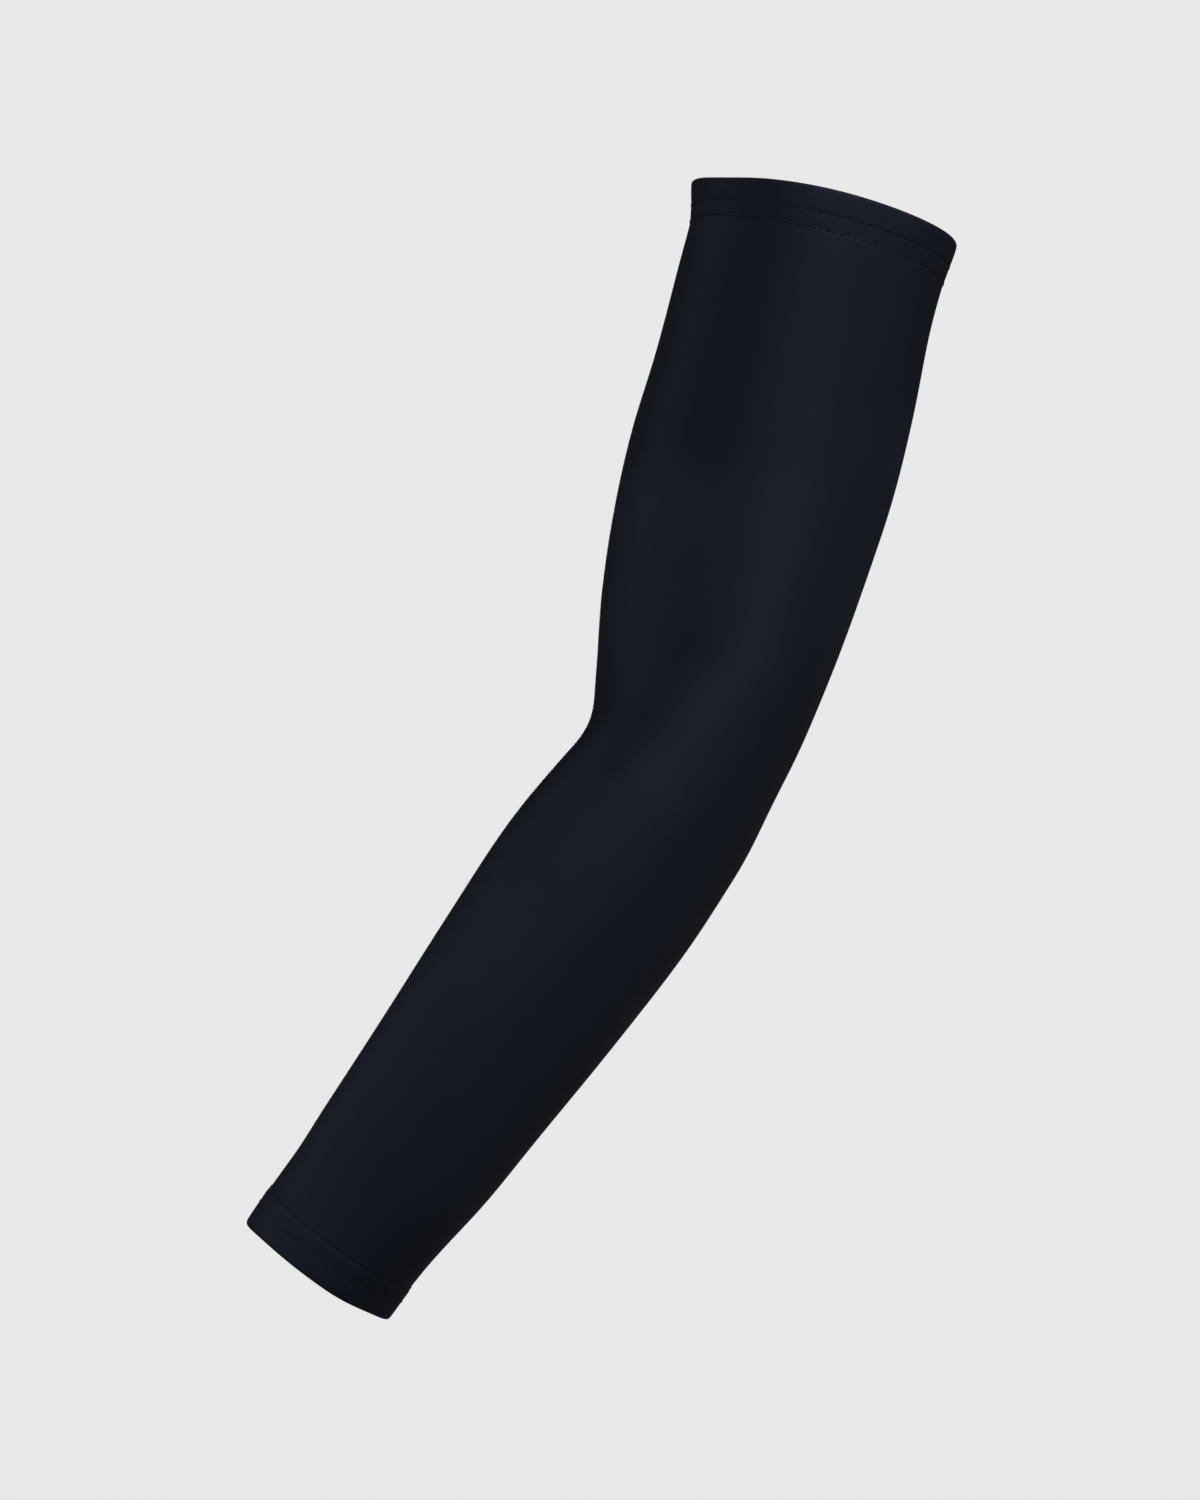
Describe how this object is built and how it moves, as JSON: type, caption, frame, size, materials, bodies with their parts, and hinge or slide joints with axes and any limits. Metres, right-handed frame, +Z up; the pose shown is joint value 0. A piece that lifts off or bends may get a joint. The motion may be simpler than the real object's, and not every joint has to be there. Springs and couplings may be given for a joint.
{
  "type": "arm warmer",
  "caption": "Plain stretch-knit arm warmer in its worn form, a tapered sleeve bent at the elbow, open at both ends, with a turned hem at the upper arm and at the wrist.",
  "frame": {"origin": "centre of the upper arm opening, at the rim", "axes": "+Z up along the length of the worn sleeve, -X towards the inside of the elbow, -Y towards the outer side of the arm"},
  "size_m": [0.2577, 0.0918, 0.4157],
  "materials": {
    "sleeve_knit": "matte fine-gauge stretch knit, black with a navy cast",
    "hem_knit": "the same stretch knit, turned double and flat stitched"
  },
  "bodies": {
    "root": {"sleeve": "sleeve_knit", "upper_hem": "hem_knit", "wrist_hem": "hem_knit"}
  },
  "joints": []
}
